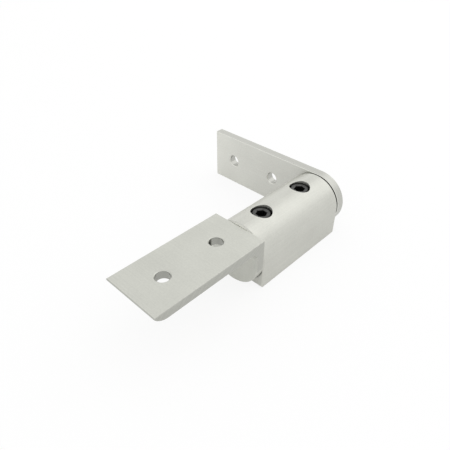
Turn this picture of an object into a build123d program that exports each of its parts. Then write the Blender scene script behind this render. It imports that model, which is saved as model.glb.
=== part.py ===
from build123d import *
from math import sqrt
import os

# Profile pivot joint, in millimetres: two arms that swivel on one axle in a D-shaped housing.
# +Z is up, +Y runs along the pivot axis from the straight leaf to the right-angle arm.
# The origin is the centre of the housing's flat base.

# Width of the slotted profile that the joint fits, shared by the housing and both arms
profile_width = 38.1

# Housing: a bar of D section, flat below and round above, bored from end to end
housing_length = 76.2
base_corner_radius = 0.8
end_rim_break = 0.7

# Socket head cap screws that pin the axle in the housing
cap_pitch = 38.1
cap_head_radius = 5.95
cap_head_height = 7.94
cap_shank_radius = 3.97
cap_shank_length = 25.4
cap_socket_flats = 6.35
cap_socket_depth = 4.2
seat_wall = 1.15
recess_clearance = 0.75
recess_rim_break = 0.2

# Axle: its body is held in the housing, and each arm turns on a thinner journal at its end
axle_radius = 7.94
journal_radius = 6.35
axle_end_drop = 0.15
end_thread_depth = 16.5

# Flanged bushings in the arms
bushing_wall = 1.0
flange_lap = 3.6
flange_thickness = 1.0

# Straight leaf: an L of one thickness, its plate just below the crown, its lug round below
leaf_thickness = 5.56
leaf_length = 77.8
leaf_drop = 1.4
leaf_first_hole = 19.05
inside_radius = 6.0
nose_radius = 9.5
nose_land = 1.0

# Right-angle arm: a flat plate with one round end
arm_thickness = 6.35
arm_first_hole = 38.1
arm_end_margin = 19.05

# Mounting holes in both arms
hole_radius = 4.165
hole_pitch = 38.1

# Screw, washer and spot face that hold each arm on the axle
spot_depth = 1.8
spot_clearance = 0.25
washer_lap = 0.55
washer_thickness = 1.6
button_head_radius = 7.15
button_head_height = 4.2
button_knee_radius = 5.9
button_knee_height = 2.95
button_shank_length = 15.9
button_socket_flats = 4.76
button_socket_depth = 2.6

# Fits and gaps
front_gap = 0.3
rear_gap = 0.7
face_clearance = 0.05
running_clearance = 0.05
fixed_clearance = 0.02
screw_clearance = 0.195
flange_side_clearance = 0.1
edge_break = 0.3
rim_break = 0.5

# Places along the pivot axis
front_face = -housing_length / 2
rear_face = housing_length / 2
leaf_back = front_face - front_gap
lug_front = leaf_back - leaf_thickness
arm_front = rear_face + rear_gap
arm_back = arm_front + arm_thickness
leaf_end = leaf_back - leaf_length

# Sizes that follow from the ones above
round_radius = profile_width / 2
axis_height = round_radius
crown_height = axis_height + round_radius
leaf_top = crown_height - leaf_drop
leaf_bottom = leaf_top - leaf_thickness
bore_radius = axle_radius + fixed_clearance
bushing_radius = journal_radius + running_clearance + bushing_wall
flange_radius = bushing_radius + flange_lap
washer_radius = bushing_radius + washer_lap
spot_radius = washer_radius + spot_clearance
screw_hole_radius = cap_shank_radius + screw_clearance
thread_hole_radius = cap_shank_radius + fixed_clearance
seat_height = axis_height + bore_radius + seat_wall
recess_depth = crown_height - seat_height
arm_reach = arm_first_hole + hole_pitch + arm_end_margin
cap_places = [(0, -cap_pitch / 2), (0, cap_pitch / 2)]


def axis_plane(y, outward):
    """Plane square to the pivot axis, centred on it at y; outward -1 faces -Y, +1 faces +Y."""
    return Plane(origin=(0, y, axis_height), x_dir=(-outward, 0, 0), z_dir=(0, outward, 0))


def cut_bearing_seat(inner_face, thickness, outward, gap):
    """Cut an arm's bushing hole, flange seat and spot face; gap is its distance from the housing."""
    seat_depth = flange_thickness + face_clearance - gap
    spot_floor = inner_face + outward * (thickness - spot_depth)
    with BuildSketch(axis_plane(inner_face, outward)) as bushing_hole:
        Circle(bushing_radius)
    extrude(bushing_hole.sketch, amount=thickness, mode=Mode.SUBTRACT)
    with BuildSketch(axis_plane(inner_face, outward)) as flange_seat:
        Circle(flange_radius + flange_side_clearance)
    extrude(flange_seat.sketch, amount=seat_depth, mode=Mode.SUBTRACT)
    with BuildSketch(axis_plane(spot_floor, outward)) as spot_face:
        Circle(spot_radius)
    extrude(spot_face.sketch, amount=spot_depth + inside_radius, mode=Mode.SUBTRACT)


# D-section housing: bore for the axle, two recessed and tapped screw holes across it
with BuildPart() as pivot_housing:
    with BuildSketch(Plane.XZ) as d_section:
        with BuildLine():
            FilletPolyline(
                (-round_radius, axis_height),
                (-round_radius, 0),
                (round_radius, 0),
                (round_radius, axis_height),
                radius=base_corner_radius,
            )
            CenterArc((0, axis_height), round_radius, 0, 180)
        make_face()
    extrude(amount=housing_length / 2, both=True)
    for end in (Axis.Y, -Axis.Y):
        chamfer(pivot_housing.faces().sort_by(end)[-1].edges(), end_rim_break)
    with BuildSketch(Plane.XZ) as axle_bore:
        with Locations((0, axis_height)):
            Circle(bore_radius)
    extrude(amount=housing_length / 2, both=True, mode=Mode.SUBTRACT)
    with BuildSketch(Plane.XY.offset(crown_height)) as recesses:
        with Locations(*cap_places):
            Circle(cap_head_radius + recess_clearance)
    extrude(amount=-recess_depth, mode=Mode.SUBTRACT)
    recess_rims = pivot_housing.edges().filter_by(GeomType.BSPLINE)
    chamfer(recess_rims, recess_rim_break)
    with BuildSketch(Plane.XY.offset(seat_height)) as screw_holes:
        with Locations(*cap_places):
            Circle(screw_hole_radius)
    extrude(amount=axis_height - seat_height, mode=Mode.SUBTRACT)
    with BuildSketch(Plane.XY) as thread_holes:
        with Locations(*cap_places):
            Circle(thread_hole_radius)
    extrude(amount=axis_height, mode=Mode.SUBTRACT)
pivot_housing.part.label = "pivot_housing"

# Shouldered axle with two cross holes for the cap screws and a tapped hole in each end
axle_front = lug_front + spot_depth + axle_end_drop
axle_back = arm_back - spot_depth - axle_end_drop
with BuildPart() as pivot_axle:
    with BuildSketch(axis_plane(axle_front, 1)):
        Circle(journal_radius)
    extrude(amount=axle_back - axle_front)
    chamfer(pivot_axle.edges(), edge_break)
    with BuildSketch(axis_plane(0, 1)):
        Circle(axle_radius)
    extrude(amount=housing_length / 2 - fixed_clearance, both=True)
    with BuildSketch(Plane.XY.offset(axis_height)):
        with Locations(*cap_places):
            Circle(screw_hole_radius)
    extrude(amount=axle_radius, both=True, mode=Mode.SUBTRACT)
    for end_y, inward in ((axle_front, 1), (axle_back, -1)):
        with BuildSketch(axis_plane(end_y, inward)):
            Circle(thread_hole_radius)
        extrude(amount=end_thread_depth, mode=Mode.SUBTRACT)
pivot_axle.part.label = "pivot_axle"

# Two socket head cap screws, heads below the crown of the housing
with BuildPart() as axle_cap_screws:
    with BuildSketch(Plane.XY.offset(seat_height)):
        with Locations(*cap_places):
            Circle(cap_head_radius)
    extrude(amount=cap_head_height)
    top_rims = axle_cap_screws.edges().filter_by(GeomType.CIRCLE).group_by(Axis.Z)[-1]
    chamfer(top_rims, edge_break)
    with BuildSketch(Plane.XY.offset(seat_height + cap_head_height)):
        with Locations(*cap_places):
            RegularPolygon(cap_socket_flats / 2, 6, major_radius=False)
    extrude(amount=-cap_socket_depth, mode=Mode.SUBTRACT)
    with BuildSketch(Plane.XY.offset(seat_height)):
        with Locations(*cap_places):
            Circle(cap_shank_radius)
    extrude(amount=-cap_shank_length)
    tip_rims = axle_cap_screws.edges().filter_by(GeomType.CIRCLE).group_by(Axis.Z)[0]
    chamfer(tip_rims, edge_break)
axle_cap_screws.part.label = "axle_cap_screws"

# Straight leaf: side profile of the L, trimmed to a round lug, then holes and bearing seat
nose_drop = leaf_thickness - nose_land
nose_run = sqrt(nose_radius ** 2 - (nose_radius - nose_drop) ** 2)
lug_bottom = axis_height - round_radius
with BuildPart() as straight_leaf:
    with BuildSketch(Plane.YZ) as leaf_profile:
        with BuildLine():
            Polyline(
                (lug_front, leaf_bottom - inside_radius),
                (lug_front, lug_bottom),
                (leaf_back, lug_bottom),
                (leaf_back, leaf_top),
                (leaf_end, leaf_top),
                (leaf_end, leaf_top - nose_land),
            )
            nose_start = (leaf_end + nose_run, leaf_bottom)
            TangentArc(nose_start, (leaf_end, leaf_top - nose_land), tangent=(-1, 0))
            Line(nose_start, (lug_front - inside_radius, leaf_bottom))
            TangentArc(
                (lug_front - inside_radius, leaf_bottom),
                (lug_front, leaf_bottom - inside_radius),
                tangent=(1, 0),
            )
        make_face()
    extrude(amount=round_radius, both=True)
    leaf_rise = leaf_top - axis_height
    with BuildSketch(axis_plane(leaf_back, -1)) as lug_outline:
        with BuildLine():
            Polyline(
                (round_radius, 0),
                (round_radius, leaf_rise),
                (-round_radius, leaf_rise),
                (-round_radius, 0),
            )
            CenterArc((0, 0), round_radius, 180, 180)
        make_face()
    extrude(amount=leaf_length, mode=Mode.INTERSECT)
    top_edges = straight_leaf.faces().sort_by(Axis.Z)[-1].edges()
    chamfer(top_edges, edge_break)
    lug_faces = straight_leaf.faces().filter_by(Axis.Y).sort_by(Axis.Y)[1:]
    chamfer(lug_faces.edges().filter_by(GeomType.CIRCLE), edge_break)
    with BuildSketch(Plane.XY.offset(leaf_top)) as leaf_holes:
        with Locations(
            (0, leaf_back - leaf_first_hole),
            (0, leaf_back - leaf_first_hole - hole_pitch),
        ):
            Circle(hole_radius)
    extrude(amount=-leaf_thickness, mode=Mode.SUBTRACT)
    top_rims = straight_leaf.edges().filter_by(GeomType.CIRCLE).group_by(Axis.Z)[-1]
    chamfer(top_rims, rim_break)
    cut_bearing_seat(leaf_back, leaf_thickness, -1, front_gap)
straight_leaf.part.label = "straight_leaf"

# Right-angle arm: plate standing on edge behind the housing, round end on the axis
with BuildPart() as right_angle_arm:
    with BuildSketch(axis_plane(arm_front, 1)) as arm_outline:
        with BuildLine():
            Polyline(
                (0, round_radius),
                (arm_reach, round_radius),
                (arm_reach, -round_radius),
                (0, -round_radius),
            )
            CenterArc((0, 0), round_radius, 90, 180)
        make_face()
    extrude(amount=arm_thickness)
    for side in (Axis.Y, -Axis.Y):
        chamfer(right_angle_arm.faces().sort_by(side)[-1].edges(), edge_break)
    with BuildSketch(axis_plane(arm_front, 1)) as arm_holes:
        with Locations((arm_first_hole, 0), (arm_first_hole + hole_pitch, 0)):
            Circle(hole_radius)
    extrude(amount=arm_thickness, mode=Mode.SUBTRACT)
    arm_rims = right_angle_arm.edges().filter_by(GeomType.CIRCLE).filter_by(
        lambda rim: abs(rim.radius - hole_radius) < edge_break
    )
    chamfer(arm_rims, rim_break)
    cut_bearing_seat(arm_front, arm_thickness, 1, rear_gap)
right_angle_arm.part.label = "right_angle_arm"


def flanged_bushing(inner_face, thickness, outward, gap):
    """Bushing pressed into an arm, its flange between the arm and the housing."""
    seat_depth = flange_thickness + face_clearance - gap
    flange_start = inner_face + outward * (seat_depth - flange_thickness)
    sleeve_end = inner_face + outward * (thickness - spot_depth - axle_end_drop)
    with BuildPart() as bushing:
        with BuildSketch(axis_plane(flange_start, outward)):
            Circle(flange_radius)
        extrude(amount=flange_thickness)
        with BuildSketch(axis_plane(flange_start, outward)):
            Circle(bushing_radius)
        extrude(amount=abs(sleeve_end - flange_start))
        with BuildSketch(axis_plane(flange_start, outward)):
            Circle(journal_radius + running_clearance)
        extrude(amount=abs(sleeve_end - flange_start), mode=Mode.SUBTRACT)
    return bushing


front_bushing = flanged_bushing(leaf_back, leaf_thickness, -1, front_gap)
front_bushing.part.label = "front_bushing"

rear_bushing = flanged_bushing(arm_front, arm_thickness, 1, rear_gap)
rear_bushing.part.label = "rear_bushing"

# Washers that bear on the spot faces and carry the end screws' heads
washer_seats = (
    (lug_front + spot_depth - face_clearance, -1),
    (arm_back - spot_depth + face_clearance, 1),
)
with BuildPart() as end_washers:
    for seat_y, outward in washer_seats:
        with BuildSketch(axis_plane(seat_y, outward)):
            Circle(washer_radius)
            Circle(screw_hole_radius, mode=Mode.SUBTRACT)
        extrude(amount=washer_thickness)
end_washers.part.label = "end_washers"

# Button head screws in the ends of the axle, each head two cones below a flat top
with BuildPart() as end_screws:
    for seat_y, outward in washer_seats:
        head_seat = seat_y + outward * washer_thickness
        head_top = head_seat + outward * button_head_height
        with BuildSketch(Plane.YZ) as half_head:
            with BuildLine():
                Polyline(
                    (head_seat, axis_height),
                    (head_seat, axis_height + button_head_radius),
                    (head_seat + outward * edge_break, axis_height + button_head_radius),
                    (head_seat + outward * button_knee_height, axis_height + button_knee_radius),
                    (head_top, axis_height + button_socket_flats / 2 + rim_break),
                    (head_top, axis_height),
                    close=True,
                )
            make_face()
        revolve(axis=Axis((0, 0, axis_height), (0, 1, 0)))
        with BuildSketch(axis_plane(head_top, -outward)):
            RegularPolygon(button_socket_flats / 2, 6, major_radius=False)
        extrude(amount=button_socket_depth, mode=Mode.SUBTRACT)
        with BuildSketch(axis_plane(head_seat, -outward)):
            Circle(cap_shank_radius)
        extrude(amount=button_shank_length)
end_screws.part.label = "end_screws"

os.makedirs("parts", exist_ok=True)
pieces = (
    pivot_housing,
    pivot_axle,
    axle_cap_screws,
    straight_leaf,
    right_angle_arm,
    front_bushing,
    rear_bushing,
    end_washers,
    end_screws,
)
for piece in pieces:
    export_step(piece.part, "parts/" + piece.part.label + ".step")
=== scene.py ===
from math import cos, pi, radians, sin, sqrt

import bmesh
import bpy
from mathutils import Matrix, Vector


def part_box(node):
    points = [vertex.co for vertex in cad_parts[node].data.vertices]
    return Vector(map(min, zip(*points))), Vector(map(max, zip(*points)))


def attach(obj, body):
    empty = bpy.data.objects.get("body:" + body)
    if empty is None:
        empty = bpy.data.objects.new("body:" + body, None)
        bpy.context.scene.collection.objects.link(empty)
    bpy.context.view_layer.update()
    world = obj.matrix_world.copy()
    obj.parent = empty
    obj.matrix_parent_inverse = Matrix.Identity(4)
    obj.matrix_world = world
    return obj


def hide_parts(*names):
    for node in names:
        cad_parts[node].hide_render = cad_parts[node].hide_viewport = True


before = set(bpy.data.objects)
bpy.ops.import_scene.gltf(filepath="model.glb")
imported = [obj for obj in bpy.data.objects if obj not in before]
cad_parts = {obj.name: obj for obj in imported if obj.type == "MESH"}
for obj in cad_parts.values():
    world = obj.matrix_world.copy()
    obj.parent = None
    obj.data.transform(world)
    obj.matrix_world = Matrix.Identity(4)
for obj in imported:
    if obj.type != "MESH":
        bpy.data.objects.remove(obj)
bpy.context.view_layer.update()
mm = 0.001


# ---- Pivot housing ----------------------------------------------------------------------
# A D-shaped bar of extruded aluminium, faced to length, bored for the axle and counterbored
# for two cap screws, then etched and clear anodised. Every other piece is fitted to it.

def add_node(tree, kind, inputs=None, **settings):
    """A new node. inputs gives socket names or numbers a value, or a socket to link from."""
    node = tree.nodes.new(kind)
    for name, value in settings.items():
        setattr(node, name, value)
    for key, value in (inputs or {}).items():
        if isinstance(value, bpy.types.NodeSocket):
            tree.links.new(value, node.inputs[key])
        else:
            node.inputs[key].default_value = value
    return node


def maths(tree, operation, *values):
    """The result of one sum. Each value is a number or a socket."""
    node = add_node(tree, "ShaderNodeMath", dict(enumerate(values)), operation=operation)
    return node.outputs[0]


def between(tree, factor, a, b):
    """A number that is a where factor is 0 and b where it is 1."""
    return add_node(tree, "ShaderNodeMix", {0: factor, 2: a, 3: b}).outputs[0]


def ramp(tree, value, start, end):
    """0 where value is at start, 1 where it is at end, and held there beyond them."""
    sockets = {"Value": value, "From Min": start, "From Max": end}
    return add_node(tree, "ShaderNodeMapRange", sockets).outputs[0]


def noise(tree, place, scale, detail):
    """Smooth noise from 0 to 1, with scale waves to the metre."""
    sockets = {"Vector": place, "Scale": scale, "Detail": detail}
    return add_node(tree, "ShaderNodeTexNoise", sockets).outputs[0]


def reach(tree, *sides):
    """The length of a vector with these two or three sides."""
    vector = add_node(tree, "ShaderNodeCombineXYZ", dict(enumerate(sides))).outputs[0]
    return add_node(tree, "ShaderNodeVectorMath", {0: vector}, operation="LENGTH").outputs[1]


def nearest_edge(tree, pairs):
    """How near a point is to an edge. A pair holds its depths below the faces that meet there."""
    nearest = 1.0
    for faces in pairs:
        depth = faces[0]
        for other in faces[1:]:
            depth = maths(tree, "MAXIMUM", depth, other)
        nearest = maths(tree, "MINIMUM", nearest, depth)
    return nearest


def new_group(name, kind, inputs, outputs):
    """An empty node group; returns it, the sockets that it takes, and its output node."""
    group = bpy.data.node_groups.new(name, kind)
    for side, sockets in (("INPUT", inputs), ("OUTPUT", outputs)):
        for label, form in sockets.items():
            group.interface.new_socket(label, in_out=side, socket_type="NodeSocket" + form)
    return group, group.nodes.new("NodeGroupInput").outputs, group.nodes.new("NodeGroupOutput")


def start_material(name):
    """A bare material; returns it, its tree, and the place on the piece as a vector, x, y and z."""
    material = bpy.data.materials.new(name)
    material.use_nodes = True
    tree = material.node_tree
    tree.nodes.clear()
    place = tree.nodes.new("ShaderNodeTexCoord").outputs["Object"]
    x, y, z = add_node(tree, "ShaderNodeSeparateXYZ", {0: place}).outputs
    return material, tree, place, x, y, z


def end_material(tree, colour, roughness, metallic, height, relief):
    """The shader that a material ends in. height is from 0 to 1, and stands for relief metres."""
    bump = add_node(tree, "ShaderNodeBump", {"Height": height, "Distance": relief})
    sockets = {"Base Color": colour, "Roughness": roughness, "Metallic": metallic}
    shader = add_node(tree, "ShaderNodeBsdfPrincipled", sockets | {"Normal": bump.outputs[0]})
    add_node(tree, "ShaderNodeOutputMaterial", {"Surface": shader.outputs[0]})


def tinted(tree, colour, shade):
    """A colour made lighter or darker by shade, which is about 1."""
    grey = add_node(tree, "ShaderNodeCombineColor", {0: shade, 1: shade, 2: shade}).outputs[0]
    sockets = {0: 1.0, 6: (*colour, 1.0), 7: grey}
    return add_node(
        tree, "ShaderNodeMix", sockets, data_type="RGBA", blend_type="MULTIPLY"
    ).outputs[2]


# Etched grain: grit, flecks and soft clouds of tone, and the faint lines that a die or roll draws.
etched_grain, taken, given = new_group(
    "etched_grain",
    "ShaderNodeTree",
    {"Place": "Vector", "Draw": "Vector", "Line Tone": "Float"},
    {"Shade": "Float", "Height": "Float"},
)
grit_tone, fleck_tone, cloud_tone = 0.10, 0.16, 0.12
base_tone = 1.0 - (grit_tone + fleck_tone + cloud_tone) / 2
grit = noise(etched_grain, taken["Place"], 5000, 2)
flecks = noise(etched_grain, taken["Place"], 900, 2)
clouds = noise(etched_grain, taken["Place"], 60, 3)
drawn = add_node(
    etched_grain, "ShaderNodeVectorMath", {0: taken["Place"], 1: taken["Draw"]},
    operation="MULTIPLY",
).outputs[0]
lines = noise(etched_grain, drawn, 1, 4)
shade = maths(etched_grain, "MULTIPLY_ADD", grit, grit_tone, base_tone)
shade = maths(etched_grain, "MULTIPLY_ADD", flecks, fleck_tone, shade)
shade = maths(etched_grain, "MULTIPLY_ADD", clouds, cloud_tone, shade)
lined = maths(etched_grain, "SUBTRACT", lines, 0.5)
shade = maths(etched_grain, "MULTIPLY_ADD", lined, taken["Line Tone"], shade)
height = maths(etched_grain, "MULTIPLY", maths(etched_grain, "ADD", lines, grit), 0.5)
etched_grain.links.new(shade, given.inputs["Shade"])
etched_grain.links.new(height, given.inputs["Height"])

# Tool marks: uneven lines across the way that a saw, mill or lathe tool fed along the metal.
tool_marks, taken, given = new_group(
    "tool_marks",
    "ShaderNodeTree",
    {"Along": "Float", "Spacing": "Float", "Tone": "Float"},
    {"Shade": "Float", "Height": "Float"},
)
turn = maths(tool_marks, "DIVIDE", taken["Along"], taken["Spacing"])
marks = add_node(
    tool_marks, "ShaderNodeTexNoise", {"W": turn, "Scale": 1.0, "Detail": 3.0},
    noise_dimensions="1D",
).outputs[0]
marked = maths(tool_marks, "SUBTRACT", marks, 0.5)
shade = maths(tool_marks, "MULTIPLY_ADD", marked, taken["Tone"], 1.0)
tool_marks.links.new(shade, given.inputs["Shade"])
tool_marks.links.new(marks, given.inputs["Height"])

# Rim wear: a narrow, broken line of brighter metal along an edge.
rim_wear, taken, given = new_group(
    "rim_wear",
    "ShaderNodeTree",
    {"Place": "Vector", "Distance": "Float", "Reach": "Float"},
    {"Wear": "Float"},
)
patch_gain, wear_fade = 2.2, 0.8
patches = noise(rim_wear, taken["Place"], 350, 3)
patches = maths(rim_wear, "MULTIPLY", patches, patch_gain)
closeness = maths(rim_wear, "DIVIDE", taken["Distance"], taken["Reach"])
closeness = maths(rim_wear, "SUBTRACT", patches, closeness)
rim_wear.links.new(ramp(rim_wear, closeness, 0.0, wear_fade), given.inputs["Wear"])


def anodise(name, colour, draw, cut_look, bore_look, surfaces):
    """An anodised material. surfaces works out the piece's own masks from its tree and place.
    draw squeezes the grain across the way that the metal was drawn, and the looks of cut and
    bored surfaces are a tone and how metallic they are."""
    cut_tone, cut_metallic = cut_look
    bore_tone, bore_metallic = bore_look
    grain_rough, cut_rough, bore_rough = 0.46, 0.40, 0.30
    wear_tone, wear_gloss = 0.06, 0.08
    # Painted shade: one mask from surfaces darkens the piece where shade falls, in recesses, gaps
    # and near the floor; this is the most it darkens.
    painted_shade_strength = 0.8
    material, tree, place, x, y, z = start_material(name)
    cut, cut_along, cut_spacing, bored, bored_along, painted_shade, edge = surfaces(tree, x, y, z)
    grain = add_node(
        tree, "ShaderNodeGroup", {"Place": place, "Draw": draw, "Line Tone": 0.16},
        node_tree=etched_grain,
    ).outputs
    sawn = add_node(
        tree, "ShaderNodeGroup",
        {"Along": cut_along, "Spacing": cut_spacing, "Tone": 0.3}, node_tree=tool_marks,
    ).outputs
    drilled = add_node(
        tree, "ShaderNodeGroup",
        {"Along": bored_along, "Spacing": 0.25 * mm, "Tone": 0.3}, node_tree=tool_marks,
    ).outputs
    wear = add_node(
        tree, "ShaderNodeGroup", {"Place": place, "Distance": edge, "Reach": 0.5 * mm},
        node_tree=rim_wear,
    ).outputs["Wear"]
    shade = between(tree, cut, grain["Shade"], maths(tree, "MULTIPLY", sawn["Shade"], cut_tone))
    shade = between(tree, bored, shade, maths(tree, "MULTIPLY", drilled["Shade"], bore_tone))
    shade = maths(tree, "MULTIPLY_ADD", wear, wear_tone, shade)
    # The painted shade darkens the colour here.
    shade = maths(tree, "MULTIPLY", shade, maths(tree, "MULTIPLY_ADD", painted_shade, -painted_shade_strength, 1.0))
    height = between(tree, cut, grain["Height"], sawn["Height"])
    height = between(tree, bored, height, drilled["Height"])
    roughness = between(tree, cut, grain_rough, cut_rough)
    roughness = between(tree, bored, roughness, bore_rough)
    roughness = maths(tree, "MULTIPLY_ADD", wear, -wear_gloss, roughness)
    metallic = between(tree, bored, between(tree, cut, 1.0, cut_metallic), bore_metallic)
    colour = tinted(tree, colour, shade)
    end_material(tree, colour, roughness, metallic, height, relief=0.012 * mm)
    return material


housing_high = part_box("pivot_housing")[1]
round_radius = housing_high.x
axis_height = housing_high.z - round_radius
recess_radius = 6.7 * mm
# Painted shade for milled faces in the gaps between parts: the full strength, and a lighter one for
# the rest of the lower front end, which lies in shade under the front lug.
gap_shade, thin_gap_shade = 0.95, 0.45
cap_low, cap_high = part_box("axle_cap_screws")
cap_head_radius = cap_high.x
cap_place = cap_high.y - cap_head_radius

# A point no deeper than this below a face counts as on it.
face_skin = 0.03 * mm


def radial_from_axle(tree, x, y, z):
    """The distance from the axle's axis."""
    return reach(tree, x, maths(tree, "SUBTRACT", z, axis_height))


def radial_from_cap(tree, x, y, z):
    """The distance from the nearer cap screw's axis."""
    off_screw = maths(tree, "SUBTRACT", maths(tree, "ABSOLUTE", y), cap_place)
    return reach(tree, x, off_screw)


def housing_surfaces(tree, x, y, z):
    """The housing's milled ends, its counterbores, its painted shade and the nearest edge."""
    # The marks on the ends are arcs about this point, as a milling cutter leaves them.
    mill_x, mill_z, mill_feed = -45 * mm, -20 * mm, 0.5 * mm
    base_height = 1.0 * mm
    # Painted shade along the bottom of the housing, where shadow gathers next to the floor.
    base_shade, base_shade_rise = 0.3, 0.9 * mm
    # A recess's rim dips at the round top's sides, so its wear fades slowly with depth.
    rim_dip = 0.2
    end_depth = maths(tree, "SUBTRACT", housing_high.y, maths(tree, "ABSOLUTE", y))
    side_depth = maths(tree, "SUBTRACT", round_radius, maths(tree, "ABSOLUTE", x))
    rise = maths(tree, "MAXIMUM", maths(tree, "SUBTRACT", z, axis_height), 0.0)
    outline_depth = maths(tree, "SUBTRACT", round_radius, reach(tree, x, rise))
    outline_depth = maths(tree, "MINIMUM", outline_depth, z)
    screw_distance = radial_from_cap(tree, x, y, z)
    rim_distance = maths(tree, "ABSOLUTE", maths(tree, "SUBTRACT", screw_distance, recess_radius))
    under_crown = maths(tree, "SUBTRACT", housing_high.z, z)
    edges = [
        (end_depth, outline_depth),
        (side_depth, z),
        (rim_distance, maths(tree, "MULTIPLY", under_crown, rim_dip)),
    ]
    milled = maths(tree, "LESS_THAN", end_depth, face_skin)
    off_mill = reach(tree, maths(tree, "SUBTRACT", x, mill_x), maths(tree, "SUBTRACT", z, mill_z))
    bored = maths(tree, "LESS_THAN", screw_distance, recess_radius + face_skin)
    bored = maths(tree, "MULTIPLY", bored, maths(tree, "GREATER_THAN", z, base_height))
    # Painted shade: the recess walls darken just above the cap screw heads, where shade falls in
    # the gap round them.
    painted_shade = ramp(tree, z, cap_high.z + 0.5 * mm, cap_high.z)
    # Painted shade, darker towards the base.
    along_base = maths(tree, "MULTIPLY", ramp(tree, z, base_shade_rise, 0.0), base_shade)
    painted_shade = maths(tree, "MAXIMUM", maths(tree, "MULTIPLY", painted_shade, bored), along_base)
    # Painted shade on the milled ends: the front end darkens low down, most along the lug's
    # outline, and the rear end, hidden behind the arm, darkens all over.
    off_axle = radial_from_axle(tree, x, y, z)
    off_lug = maths(tree, "ABSOLUTE", maths(tree, "SUBTRACT", off_axle, round_radius))
    by_lug = ramp(tree, off_lug, 1.0 * mm, 0.2 * mm)
    low_down = ramp(tree, z, 0.8 * axis_height, 0.6 * axis_height)
    front_gap_shade = between(tree, by_lug, thin_gap_shade, gap_shade)
    front_gap_shade = maths(tree, "MULTIPLY", front_gap_shade, low_down)
    rear_gap_shade = maths(tree, "MULTIPLY", maths(tree, "SIGN", y), gap_shade)
    gap_shaded = maths(tree, "MAXIMUM", front_gap_shade, rear_gap_shade)
    painted_shade = maths(tree, "MAXIMUM", painted_shade, maths(tree, "MULTIPLY", gap_shaded, milled))
    return milled, off_mill, mill_feed, bored, z, painted_shade, nearest_edge(tree, edges)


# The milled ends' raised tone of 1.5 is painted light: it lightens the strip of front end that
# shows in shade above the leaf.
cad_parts["pivot_housing"].data.materials[0] = anodise(
    "housing_anodise", colour=(0.605, 0.607, 0.561), draw=(2500, 15, 2500),
    cut_look=(1.5, 0.0), bore_look=(0.85, 0.6), surfaces=housing_surfaces,
)


# ---- Pivot axle -------------------------------------------------------------------------
# A ground steel bar through the housing and both lugs, cross drilled for the cap screws and
# tapped at both ends. Nothing of it shows until the end screws and washers come off.

def steel(name, colour, roughness, along, spacing, relief):
    """Bare or plated steel with tool marks across along, which is worked out from the place."""
    smudge_tone, smudge_rough = 0.2, 0.15
    material, tree, place, x, y, z = start_material(name)
    marks = add_node(
        tree, "ShaderNodeGroup",
        {"Along": along(tree, x, y, z), "Spacing": spacing, "Tone": 0.35}, node_tree=tool_marks,
    ).outputs
    smudge = noise(tree, place, 400, 3)
    smudged = maths(tree, "MULTIPLY_ADD", smudge, smudge_tone, 1.0 - smudge_tone / 2)
    shade = maths(tree, "MULTIPLY", marks["Shade"], smudged)
    rough = maths(tree, "MULTIPLY_ADD", smudge, smudge_rough, roughness)
    colour = tinted(tree, colour, shade)
    end_material(tree, colour, rough, metallic=1.0, height=marks["Height"], relief=relief)
    return material


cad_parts["pivot_axle"].data.materials[0] = steel(
    "ground_bar", colour=(0.50, 0.50, 0.49), roughness=0.22,
    along=lambda tree, x, y, z: y, spacing=0.15 * mm, relief=0.004 * mm,
)


# ---- Axle cap screws --------------------------------------------------------------------
# Two 5/16 inch socket head cap screws in black oxide, forged, knurled and with rolled thread.
# They drop into the recesses, pass through the axle and pin it in the housing's tapped holes.

turned_fastener, taken, given = new_group(
    "turned_fastener",
    "GeometryNodeTree",
    {
        "Profile": "Geometry",
        "Steps Round": "Int",
        "Socket Flats": "Float",
        "Knurl Depth": "Float",
        "Thread Pitch": "Float",
        "Thread Depth": "Float",
        "First Place": "Vector",
        "Second Place": "Vector",
        "First Heading": "Vector",
        "Second Heading": "Vector",
        "Turn Seed": "Int",
        "Finish": "Material",
    },
    {"Fasteners": "Geometry"},
)


def from_profile(kind, value, ring):
    """A value of the profile's corners, read at the corner that a ring of the mesh follows."""
    sockets = {"Geometry": taken["Profile"], "Value": value, "Index": ring}
    return add_node(turned_fastener, "GeometryNodeSampleIndex", sockets, data_type=kind).outputs[0]


def profile_mark(name, ring):
    """How far a ring of the mesh takes part in one of the forms: socket, knurl or thread."""
    mark = add_node(turned_fastener, "GeometryNodeInputNamedAttribute", {"Name": name}).outputs[0]
    return from_profile("FLOAT", mark, ring)


def whole(operation, a, b):
    """The result of one sum in whole numbers."""
    node = add_node(
        turned_fastener, "FunctionNodeIntegerMath", {0: a, 1: b}, operation=operation
    )
    return node.outputs[0]


thread_crest, thread_root = 0.1, 0.85
corners = add_node(
    turned_fastener, "GeometryNodeAttributeDomainSize", {0: taken["Profile"]}
).outputs["Point Count"]
grid = add_node(
    turned_fastener, "GeometryNodeMeshGrid",
    {"Vertices X": whole("ADD", taken["Steps Round"], 1), "Vertices Y": corners},
).outputs["Mesh"]
index = add_node(turned_fastener, "GeometryNodeInputIndex").outputs[0]
ring = whole("MODULO", index, corners)
step = whole("DIVIDE_FLOOR", index, corners)
corner = from_profile(
    "FLOAT_VECTOR", add_node(turned_fastener, "GeometryNodeInputPosition").outputs[0], ring
)
corner = add_node(turned_fastener, "ShaderNodeSeparateXYZ", {0: corner}).outputs
radius, level = corner["X"], corner["Z"]
share = maths(turned_fastener, "DIVIDE", step, taken["Steps Round"])
angle = maths(turned_fastener, "MULTIPLY", share, 2 * pi)
off_flat = maths(turned_fastener, "MODULO", angle, pi / 3)
off_flat = maths(turned_fastener, "SUBTRACT", off_flat, pi / 6)
half_flats = maths(turned_fastener, "MULTIPLY", taken["Socket Flats"], 0.5)
hexagon = maths(turned_fastener, "DIVIDE", half_flats, maths(turned_fastener, "COSINE", off_flat))
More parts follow.
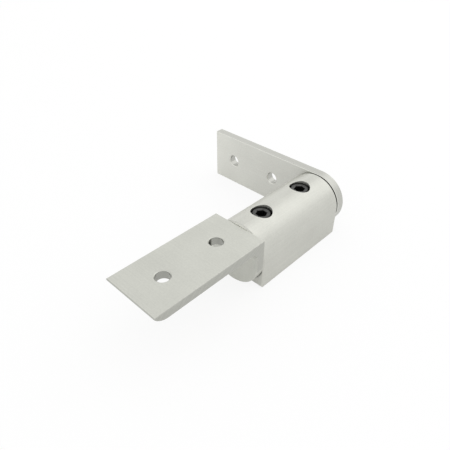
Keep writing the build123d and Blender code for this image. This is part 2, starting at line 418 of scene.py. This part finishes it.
radius = between(turned_fastener, profile_mark("socket", ring), radius, hexagon)
groove = maths(turned_fastener, "MULTIPLY", profile_mark("knurl", ring), taken["Knurl Depth"])
groove = maths(turned_fastener, "MULTIPLY", groove, whole("MODULO", step, 2))
radius = maths(turned_fastener, "SUBTRACT", radius, groove)
lead = maths(turned_fastener, "DIVIDE", level, taken["Thread Pitch"])
lead = maths(turned_fastener, "FRACT", maths(turned_fastener, "SUBTRACT", lead, share))
lead = maths(turned_fastener, "PINGPONG", maths(turned_fastener, "MULTIPLY", lead, 2.0), 1.0)
groove = maths(turned_fastener, "MULTIPLY", profile_mark("thread", ring), taken["Thread Depth"])
flank = ramp(turned_fastener, lead, thread_crest, thread_root)
groove = maths(turned_fastener, "MULTIPLY", groove, flank)
radius = maths(turned_fastener, "SUBTRACT", radius, groove)
place = add_node(
    turned_fastener, "ShaderNodeCombineXYZ",
    {
        0: maths(turned_fastener, "MULTIPLY", radius, maths(turned_fastener, "COSINE", angle)),
        1: maths(turned_fastener, "MULTIPLY", radius, maths(turned_fastener, "SINE", angle)),
        2: level,
    },
).outputs[0]
skin = add_node(turned_fastener, "GeometryNodeSetPosition", {"Geometry": grid, "Position": place})
closed = add_node(
    turned_fastener, "GeometryNodeMergeByDistance",
    {"Geometry": skin.outputs[0], "Distance": 0.002 * mm},
)
gap = add_node(
    turned_fastener, "ShaderNodeVectorMath", {0: taken["Second Place"], 1: taken["First Place"]},
    operation="SUBTRACT",
).outputs[0]
places = add_node(
    turned_fastener, "GeometryNodeMeshLine",
    {"Count": 2, "Start Location": taken["First Place"], "Offset": gap},
).outputs[0]
heading = add_node(
    turned_fastener, "ShaderNodeMix",
    {0: index, 4: taken["First Heading"], 5: taken["Second Heading"]}, data_type="VECTOR",
).outputs[1]
facing = add_node(
    turned_fastener, "FunctionNodeAlignRotationToVector", {"Vector": heading}, axis="Z"
).outputs[0]
twist = add_node(
    turned_fastener, "FunctionNodeRandomValue",
    {2: 0.0, 3: pi / 3, "ID": index, "Seed": taken["Turn Seed"]}, data_type="FLOAT",
).outputs[1]
twist = add_node(turned_fastener, "ShaderNodeCombineXYZ", {2: twist}).outputs[0]
facing = add_node(
    turned_fastener, "FunctionNodeRotateRotation",
    {0: facing, 1: twist}, rotation_space="LOCAL",
).outputs[0]
placed = add_node(
    turned_fastener, "GeometryNodeInstanceOnPoints",
    {"Points": places, "Instance": closed.outputs[0], "Rotation": facing},
).outputs[0]
real = add_node(turned_fastener, "GeometryNodeRealizeInstances", {0: placed}).outputs[0]
finished = add_node(
    turned_fastener, "GeometryNodeSetMaterial", {"Geometry": real, "Material": taken["Finish"]}
).outputs[0]
turned_fastener.links.new(finished, given.inputs["Fasteners"])


def turn_fasteners(name, node, body, profile, sizes):
    """A pair of fasteners turned from one profile. Its corners are radius, level and marks."""
    sharp_angle = radians(32)
    mesh = bpy.data.meshes.new(name)
    links = [(i, i + 1) for i in range(len(profile) - 1)]
    mesh.from_pydata([(corner[0], 0, corner[1]) for corner in profile], links, [])
    for mark in ("socket", "knurl", "thread"):
        values = [corner[2].get(mark, 0.0) if len(corner) > 2 else 0.0 for corner in profile]
        mesh.attributes.new(mark, "FLOAT", "POINT").data.foreach_set("value", values)
    piece = bpy.data.objects.new(name, mesh)
    bpy.context.scene.collection.objects.link(piece)
    modifier = piece.modifiers.new("turned", "NODES")
    modifier.node_group = turned_fastener
    for socket in turned_fastener.interface.items_tree:
        if socket.in_out == "INPUT" and socket.name in sizes:
            modifier[socket.identifier] = sizes[socket.name]
    shaped = piece.evaluated_get(bpy.context.evaluated_depsgraph_get())
    turned = bpy.data.meshes.new_from_object(shaped)
    piece.modifiers.clear()
    piece.data = turned
    outward = bmesh.new()
    outward.from_mesh(turned)
    bmesh.ops.recalc_face_normals(outward, faces=outward.faces)
    outward.to_mesh(turned)
    outward.free()
    turned.shade_smooth()
    turned.set_sharp_from_angle(angle=sharp_angle)
    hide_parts(node)
    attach(piece, body)


def oxide(name, radial, level, top, socket_radius):
    """Black oxide on steel: turned rings on the faces, painted shade down the socket, worn at the
    rims.
    """
    cloud_tone, cloud_rough, least_rough = 1.3, 0.2, 0.32
    socket_shade, rim_tone = 0.7, 1.5
    material, tree, place, x, y, z = start_material(name)
    distance = radial(tree, x, y, z)
    marks = add_node(
        tree, "ShaderNodeGroup", {"Along": distance, "Spacing": 0.18 * mm, "Tone": 0.5},
        node_tree=tool_marks,
    ).outputs
    clouds = noise(tree, place, 900, 3)
    clouded = maths(tree, "MULTIPLY_ADD", clouds, cloud_tone, 1.0 - cloud_tone / 2)
    shade = maths(tree, "MULTIPLY", marks["Shade"], clouded)
    depth = maths(tree, "ABSOLUTE", maths(tree, "SUBTRACT", level(tree, x, y, z), top))
    # Painted shade: the socket darkens with depth, where shade falls inside it.
    in_socket = maths(tree, "LESS_THAN", distance, socket_radius)
    in_socket = maths(tree, "MULTIPLY", in_socket, ramp(tree, depth, 0.1 * mm, 0.8 * mm))
    lit = maths(tree, "MULTIPLY_ADD", in_socket, -socket_shade, 1.0)
    shade = maths(tree, "MULTIPLY", shade, lit)
    off_rim = maths(tree, "ABSOLUTE", maths(tree, "SUBTRACT", distance, cap_head_radius))
    wear = add_node(
        tree, "ShaderNodeGroup",
        {"Place": place, "Distance": maths(tree, "MAXIMUM", depth, off_rim), "Reach": 0.3 * mm},
        node_tree=rim_wear,
    ).outputs["Wear"]
    shade = maths(tree, "MULTIPLY_ADD", wear, rim_tone, shade)
    rough = maths(tree, "MULTIPLY_ADD", clouds, cloud_rough, least_rough)
    colour = tinted(tree, (0.088, 0.088, 0.085), shade)
    end_material(tree, colour, rough, metallic=0.85, height=marks["Height"], relief=0.006 * mm)
    return material


cap_head_height = 7.94 * mm
cap_seat = cap_high.z - cap_head_height
cap_length = cap_seat - cap_low.z
cap_shank_radius = 3.97 * mm
cap_flats = 6.35 * mm
cap_socket_depth = 4.2 * mm
cap_socket_point = 1.2 * mm
cap_socket_bevel = 0.3 * mm
cap_crown = 1.0 * mm
cap_knurl_high = cap_head_height - 1.3 * mm
cap_knurl_low = 1.0 * mm
cap_foot = 0.35 * mm
cap_neck = 3.0 * mm
thread_pitch = 1.411 * mm
thread_depth = 0.82 * mm
rings_per_turn = 8


def threaded_shank(shank_radius, length, plain):
    """Corners down a shank from below its head: a plain neck, rolled thread and a blunt point."""
    spacing = thread_pitch / rings_per_turn
    count = int((length - plain) / spacing)
    corners = [(shank_radius, 0.0), (shank_radius, -plain)]
    for i in range(1, count):
        run_in = min(1.0, i / rings_per_turn)
        corners.append((shank_radius, -plain - i * spacing, {"thread": run_in}))
    point_radius = shank_radius - thread_depth
    corners.append((point_radius, -length))
    corners.append((0.0, -length))
    return corners


cap_profile = [
    (0.0, cap_head_height - cap_socket_depth - cap_socket_point),
    (cap_flats / 2, cap_head_height - cap_socket_depth, {"socket": 1.0}),
    (cap_flats / 2, cap_head_height - cap_socket_bevel, {"socket": 1.0}),
    (cap_flats / sqrt(3) + 0.4 * cap_socket_bevel, cap_head_height),
    (cap_head_radius - 0.65 * cap_crown, cap_head_height),
    (cap_head_radius - 0.3 * cap_crown, cap_head_height - 0.4 * cap_crown),
    (cap_head_radius, cap_head_height - cap_crown),
    (cap_head_radius, cap_knurl_high, {"knurl": 1.0}),
    (cap_head_radius, cap_knurl_low, {"knurl": 1.0}),
    (cap_head_radius, 2 * cap_foot),
    (cap_head_radius, cap_foot),
    (cap_head_radius - cap_foot, 0.0),
    *threaded_shank(cap_shank_radius, cap_length, cap_neck),
]
turn_fasteners(
    "cap_screws", "axle_cap_screws", "housing", cap_profile,
    {
        "Steps Round": 120,
        "Socket Flats": cap_flats,
        "Knurl Depth": 0.22 * mm,
        "Thread Pitch": thread_pitch,
        "Thread Depth": thread_depth,
        "First Place": (0.0, -cap_place, cap_seat),
        "Second Place": (0.0, cap_place, cap_seat),
        "First Heading": (0.0, 0.0, 1.0),
        "Second Heading": (0.0, 0.0, 1.0),
        "Turn Seed": 3,
        "Finish": oxide(
            "cap_oxide", radial=radial_from_cap, level=lambda tree, x, y, z: z,
            top=cap_high.z, socket_radius=cap_flats / sqrt(3) + 0.05 * mm,
        ),
    },
)


# ---- Flanged bushings -------------------------------------------------------------------
# Black bearing plastic, moulded, pressed into each lug with the flange towards the housing.
# The flange keeps the arm just clear of the housing's end.

material, tree, place = start_material("bearing_plastic")[:3]
pebble_tone, flow_tone = 0.3, 0.5
pebble_rough, least_rough = 0.2, 0.45
pebbles = noise(tree, place, 3000, 2)
flow = noise(tree, place, 150, 2)
base_tone = 1.0 - (pebble_tone + flow_tone) / 2
shade = maths(tree, "MULTIPLY_ADD", pebbles, pebble_tone, base_tone)
shade = maths(tree, "MULTIPLY_ADD", flow, flow_tone, shade)
rough = maths(tree, "MULTIPLY_ADD", pebbles, pebble_rough, least_rough)
colour = tinted(tree, (0.030, 0.030, 0.031), shade)
end_material(tree, colour, rough, metallic=0.0, height=pebbles, relief=0.02 * mm)
for name in ("front_bushing", "rear_bushing"):
    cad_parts[name].data.materials[0] = material


# ---- Straight leaf ----------------------------------------------------------------------
# An L of extruded aluminium, sawn to width, its lug milled round and spot faced, and anodised.
# It swivels on the front bushing, and two screws hold its plate along a profile.

leaf_low, leaf_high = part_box("straight_leaf")
leaf_thickness = 5.56 * mm
inside_radius = 6.0 * mm
hole_radius = 4.165 * mm
hole_pitch = 38.1 * mm
leaf_first_hole = leaf_high.y - hole_pitch / 2


def hole_distances(tree, across, along, places):
    """The distance from the nearest of some holes' axes, which stand in a row at places."""
    nearest = 1.0
    for hole in places:
        off_hole = maths(tree, "SUBTRACT", along, hole)
        nearest = maths(tree, "MINIMUM", nearest, reach(tree, across, off_hole))
    return nearest


def leaf_surfaces(tree, x, y, z):
    """The leaf's sawn sides and end, its drilled holes and the nearest edge. It has no painted
    shade.
    """
    # The marks on the sides are arcs about this point, the middle of a large saw blade.
    saw_y, saw_z, saw_feed = 40 * mm, -90 * mm, 0.9 * mm
    side_skin, end_skin = 0.25 * mm, 0.32 * mm
    fall = maths(tree, "MINIMUM", maths(tree, "SUBTRACT", z, axis_height), 0.0)
    side_depth = maths(tree, "SUBTRACT", round_radius, reach(tree, x, fall))
    top_depth = maths(tree, "SUBTRACT", leaf_high.z, z)
    back_depth = maths(tree, "SUBTRACT", leaf_high.y, y)
    end_depth = maths(tree, "SUBTRACT", y, leaf_low.y)
    before_lug = maths(tree, "SUBTRACT", leaf_high.y - leaf_thickness - inside_radius, y)
    below_plate = maths(tree, "SUBTRACT", leaf_high.z - leaf_thickness - inside_radius, z)
    corner = [maths(tree, "MINIMUM", run, 0.0) for run in (before_lug, below_plate)]
    off_corner = maths(tree, "SUBTRACT", inside_radius, reach(tree, *corner))
    edges = [
        (top_depth, side_depth),
        (top_depth, back_depth),
        (top_depth, end_depth),
        (back_depth, side_depth),
        (maths(tree, "ABSOLUTE", off_corner), side_depth),
    ]
    holes = (leaf_first_hole, leaf_first_hole - hole_pitch)
    hole_distance = hole_distances(tree, x, y, holes)
    drilled = maths(tree, "LESS_THAN", hole_distance, hole_radius + face_skin)
    edges.append((maths(tree, "ABSOLUTE", maths(tree, "SUBTRACT", hole_distance, hole_radius)),))
    sawn = maths(tree, "GREATER_THAN", maths(tree, "ABSOLUTE", x), round_radius - side_skin)
    sawn = maths(tree, "MAXIMUM", sawn, maths(tree, "LESS_THAN", end_depth, end_skin))
    off_saw = reach(tree, maths(tree, "SUBTRACT", y, saw_y), maths(tree, "SUBTRACT", z, saw_z))
    return sawn, off_saw, saw_feed, drilled, z, 0.0, nearest_edge(tree, edges)


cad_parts["straight_leaf"].data.materials[0] = anodise(
    "leaf_anodise", colour=(0.60, 0.605, 0.556), draw=(12, 2500, 2500),
    # The bore tone of 0.54 is painted shade inside the drilled holes.
    cut_look=(0.77, 1.0), bore_look=(0.54, 1.0), surfaces=leaf_surfaces,
)


# ---- Right-angle arm --------------------------------------------------------------------
# Flat aluminium bar, sawn off square at one end and milled round at the other, drilled and
# anodised. It swivels behind the housing on the rear bushing.

arm_low, arm_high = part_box("right_angle_arm")


def arm_surfaces(tree, x, y, z):
    """The arm's sawn end and milled rim, its holes, painted shade on its lug's front face and
    along its front towards the pivot, and the nearest edge."""
    cut_feed, cut_slope = 0.8 * mm, 0.3
    lug_rim = 0.2 * mm
    # Painted shade: the arm's front darkens towards the pivot, as the light falls off there.
    pivot_shade = 0.19
    above = maths(tree, "SUBTRACT", z, axis_height)
    beyond = maths(tree, "MAXIMUM", x, 0.0)
    outline_depth = maths(tree, "SUBTRACT", round_radius, reach(tree, beyond, above))
    end_depth = maths(tree, "SUBTRACT", x, arm_low.x)
    front_depth = maths(tree, "SUBTRACT", y, arm_low.y)
    back_depth = maths(tree, "SUBTRACT", arm_high.y, y)
    face_depth = maths(tree, "MINIMUM", front_depth, back_depth)
    hole_distance = hole_distances(tree, above, x, (-hole_pitch, -2 * hole_pitch))
    drilled = maths(tree, "LESS_THAN", hole_distance, hole_radius + face_skin)
    edges = [
        (face_depth, outline_depth),
        (face_depth, end_depth),
        (outline_depth, end_depth),
        (maths(tree, "ABSOLUTE", maths(tree, "SUBTRACT", hole_distance, hole_radius)),),
    ]
    on_rim = maths(tree, "LESS_THAN", outline_depth, face_skin)
    cut = maths(tree, "MAXIMUM", maths(tree, "LESS_THAN", end_depth, face_skin), on_rim)
    cut_along = maths(tree, "MULTIPLY_ADD", z, cut_slope, y)
    on_front = maths(tree, "LESS_THAN", front_depth, face_skin)
    off_axle = radial_from_axle(tree, x, y, z)
    on_lug = maths(tree, "LESS_THAN", off_axle, round_radius - lug_rim)
    # Painted shade on the lug's front face, which lies in the gap against the housing's rear end.
    gap_shaded = maths(tree, "MULTIPLY", maths(tree, "MULTIPLY", on_front, on_lug), gap_shade)
    pivot_shaded = maths(tree, "MULTIPLY", ramp(tree, x, arm_low.x, -round_radius), pivot_shade)
    painted_shade = maths(tree, "MAXIMUM", gap_shaded, maths(tree, "MULTIPLY", on_front, pivot_shaded))
    return cut, cut_along, cut_feed, drilled, y, painted_shade, nearest_edge(tree, edges)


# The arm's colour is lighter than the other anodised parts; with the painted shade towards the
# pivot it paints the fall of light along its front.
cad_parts["right_angle_arm"].data.materials[0] = anodise(
    "arm_anodise", colour=(0.72, 0.722, 0.672), draw=(12, 2500, 2500),
    # The bore tone of 0.58 is painted shade inside the drilled holes.
    cut_look=(0.745, 1.0), bore_look=(0.58, 1.0), surfaces=arm_surfaces,
)


# ---- End washers ------------------------------------------------------------------------
# Two stamped steel washers, zinc plated, in the spot faces of the lugs. They hold the arms on
# the axle under the end screws' heads.

washer_low, washer_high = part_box("end_washers")
washer_radius = washer_high.x
washer_hole = 4.165 * mm
washer_thickness = 1.6 * mm
washer_round = 0.3 * mm
hole_break = 0.1 * mm
washer_profile = [
    (washer_hole, 0.0),
    (washer_hole, washer_thickness - hole_break),
    (washer_hole + hole_break, washer_thickness),
    (washer_radius - washer_round, washer_thickness),
    (washer_radius - 0.3 * washer_round, washer_thickness - 0.3 * washer_round),
    (washer_radius, washer_thickness - washer_round),
    (washer_radius, 0.0),
    (washer_hole, 0.0),
]
end_places = {
    "First Place": (0.0, washer_low.y + washer_thickness, axis_height),
    "Second Place": (0.0, washer_high.y - washer_thickness, axis_height),
    "First Heading": (0.0, -1.0, 0.0),
    "Second Heading": (0.0, 1.0, 0.0),
}
turn_fasteners(
    "washers", "end_washers", "housing", washer_profile,
    end_places | {
        "Steps Round": 96,
        "Turn Seed": 1,
        "Finish": steel(
            "zinc_plate", colour=(0.60, 0.61, 0.63), roughness=0.28,
            along=radial_from_axle, spacing=0.6 * mm, relief=0.006 * mm,
        ),
    },
)


# ---- End screws -------------------------------------------------------------------------
# Two 5/16 inch button head screws in black oxide, driven into the axle's tapped ends. How
# tightly they are set is what makes the arms swivel freely or stay put.

screw_low, screw_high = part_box("end_screws")
button_radius = screw_high.x
button_height = 4.2 * mm
button_length = 15.9 * mm
button_flats = 4.76 * mm
button_socket_depth = 2.6 * mm
button_socket_point = 0.8 * mm
button_socket_bevel = 0.15 * mm
button_edge = 0.3 * mm
button_foot = 0.1 * mm
button_neck = 1.5 * mm
button_flat_top = button_flats / 2 + 0.5 * mm
dome_width = button_radius - button_flat_top
dome_rise = button_height - button_edge
dome_radius = (dome_width ** 2 + dome_rise ** 2) / (2 * dome_rise)
dome_steps = 10
dome = []
for i in range(dome_steps + 1):
    across = dome_width * i / dome_steps
    drop = dome_radius - sqrt(dome_radius ** 2 - across ** 2)
    dome.append((button_flat_top + across, button_height - drop))
button_profile = [
    (0.0, button_height - button_socket_depth - button_socket_point),
    (button_flats / 2, button_height - button_socket_depth, {"socket": 1.0}),
    (button_flats / 2, button_height - button_socket_bevel, {"socket": 1.0}),
    *dome,
    (button_radius, button_foot),
    (button_radius - button_foot, 0.0),
    *threaded_shank(cap_shank_radius, button_length, button_neck),
]
turn_fasteners(
    "button_screws", "end_screws", "housing", button_profile,
    end_places | {
        "First Place": (0.0, screw_low.y + button_height, axis_height),
        "Second Place": (0.0, screw_high.y - button_height, axis_height),
        "Steps Round": 96,
        "Socket Flats": button_flats,
        "Thread Pitch": thread_pitch,
        "Thread Depth": thread_depth,
        "Turn Seed": 5,
        "Finish": oxide(
            "button_oxide", radial=radial_from_axle,
            level=lambda tree, x, y, z: maths(tree, "ABSOLUTE", y),
            top=screw_high.y, socket_radius=button_flats / sqrt(3) + 0.05 * mm,
        ),
    },
)


# ---- Floor, light and camera ------------------------------------------------------------
# A plain pale floor in an even white surround, a broad soft lamp overhead and behind, and a
# weak one at the left. The camera looks down on the joint from its front right.

floor_mesh = bpy.data.meshes.new("floor")
floor_half = 3.0
floor_corners = [(-1, -1), (1, -1), (1, 1), (-1, 1)]
floor_mesh.from_pydata(
    [(floor_half * across, floor_half * along, 0) for across, along in floor_corners],
    [], [(0, 1, 2, 3)],
)
floor = bpy.data.objects.new("floor", floor_mesh)
bpy.context.scene.collection.objects.link(floor)
material, tree = start_material("pale_floor")[:2]
seen_white, glossy_white = 0.85, 0.5
rays = add_node(tree, "ShaderNodeLightPath").outputs
seen = maths(tree, "MAXIMUM", rays["Is Camera Ray"], rays["Is Transmission Ray"])
paint = add_node(tree, "ShaderNodeBsdfDiffuse", {"Color": (0.92, 0.92, 0.92, 1.0)})
white = add_node(tree, "ShaderNodeEmission", {"Color": (1.0, 1.0, 1.0, 1.0)})
seen = maths(tree, "MULTIPLY", seen, seen_white)
mirrored = maths(tree, "MULTIPLY", rays["Is Glossy Ray"], glossy_white)
white_share = maths(tree, "MAXIMUM", seen, mirrored)
shown = add_node(
    tree, "ShaderNodeMixShader", {0: white_share, 1: paint.outputs[0], 2: white.outputs[0]}
)
add_node(tree, "ShaderNodeOutputMaterial", {"Surface": shown.outputs[0]})
floor_mesh.materials.append(material)

world = bpy.data.worlds.new("white_surround")
bpy.context.scene.world = world
world.use_nodes = True
world.node_tree.nodes["Background"].inputs["Color"].default_value = (1.0, 1.0, 1.0, 1.0)


def soft_lamp(name, place, aim, width, power):
    """A square area lamp at place, turned to aim."""
    lamp = bpy.data.lights.new(name, "AREA")
    lamp.size = width
    lamp.energy = power
    holder = bpy.data.objects.new(name, lamp)
    bpy.context.scene.collection.objects.link(holder)
    holder.location = place
    holder.rotation_euler = (Vector(aim) - Vector(place)).to_track_quat("-Z", "Y").to_euler()


soft_lamp("overhead", (0.26, 0.68, 0.95), aim=(0, 0, 0.02), width=1.2, power=2.0)
soft_lamp("left_fill", (-0.75, 0.60, 0.18), aim=(0, 0, 0.02), width=0.6, power=0.25)

camera_data = bpy.data.cameras.new("camera")
camera = bpy.data.objects.new("camera", camera_data)
bpy.context.scene.collection.objects.link(camera)
bpy.context.scene.camera = camera
camera_data.sensor_width = 36.0
camera_data.lens = 36.0
camera_data.clip_start = 0.01
azimuth = radians(43.96)
elevation = radians(37.12)
distance = 288.5 * mm
aim = Vector((-23.05, -26.55, 19.05)) * mm
back = Vector((sin(azimuth) * cos(elevation), -cos(azimuth) * cos(elevation), sin(elevation)))
camera.location = aim + back * distance
camera.rotation_euler = (-back).to_track_quat("-Z", "Y").to_euler()
bpy.context.scene.view_settings.view_transform = "Standard"
